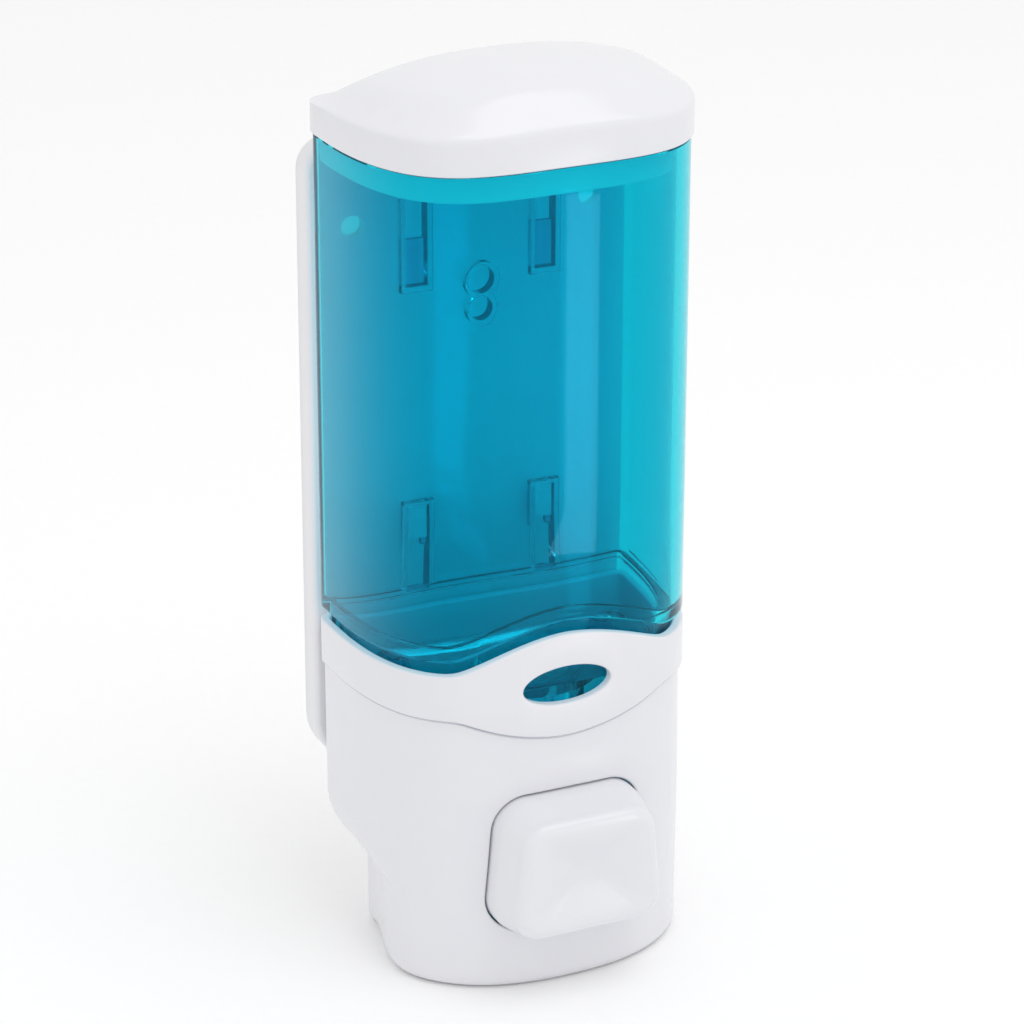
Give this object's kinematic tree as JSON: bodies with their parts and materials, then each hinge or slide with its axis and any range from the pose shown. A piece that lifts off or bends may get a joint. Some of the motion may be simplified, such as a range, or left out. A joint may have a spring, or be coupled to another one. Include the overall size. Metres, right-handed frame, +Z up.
{
  "type": "wall mounted soap dispenser",
  "caption": "Wall mounted push-button soap dispenser: translucent tank, domed lid, wavy collar with an oval sight window, pump housing and wall plate.",
  "frame": {"origin": "centre of the wall plate's back face, where it bears on the wall", "axes": "+X to the user's right, +Y into the wall, +Z up"},
  "size_m": [0.074, 0.0645, 0.1914],
  "materials": {
    "white_abs": "glossy moulded white ABS",
    "plate_abs": "moulded light grey-white ABS, slightly duller",
    "blue_translucent": "clear teal-blue tinted styrene, polished",
    "natural_acetal": "natural moulded acetal",
    "silicone": "clear-grey silicone",
    "nitrile_rubber": "black nitrile rubber",
    "zinc_steel": "zinc plated steel"
  },
  "bodies": {
    "plate": {"wall_plate": "plate_abs"},
    "dispenser": {"tank": "blue_translucent", "wave_collar": "white_abs", "front_housing": "white_abs", "base_cover": "white_abs", "return_spring": "zinc_steel", "pump_body": "natural_acetal", "pump_cap": "natural_acetal", "stem_seal": "nitrile_rubber", "inlet_gasket": "nitrile_rubber", "inlet_valve": "silicone", "outlet_valve": "silicone", "nozzle": "natural_acetal", "tank_screw_1": "zinc_steel", "base_screw_1": "zinc_steel", "tank_screw_2": "zinc_steel", "base_screw_2": "zinc_steel", "tank_screw_3": "zinc_steel", "base_screw_3": "zinc_steel", "tank_screw_4": "zinc_steel", "base_screw_4": "zinc_steel", "pump_screw_1": "zinc_steel", "pump_screw_2": "zinc_steel"},
    "lid": {"lid": "white_abs"},
    "button": {"push_button": "white_abs", "plunger": "natural_acetal", "plunger_pin": "zinc_steel", "piston_cup": "nitrile_rubber"}
  },
  "joints": [
    {"name": "lift_off", "type": "slide", "parent": "plate", "child": "dispenser", "axis": [0, 0, 1], "range_m": [0, 0.0096]},
    {"name": "lid_lift", "type": "slide", "parent": "dispenser", "child": "lid", "axis": [0, 0, 1], "range_m": [0, 0.03]},
    {"name": "button_press", "type": "slide", "parent": "dispenser", "child": "button", "axis": [0, 1, 0], "range_m": [0, 0.008], "stiffness_N_per_m": 600, "springref_m": -0.005, "deforming": ["return_spring"]}
  ]
}
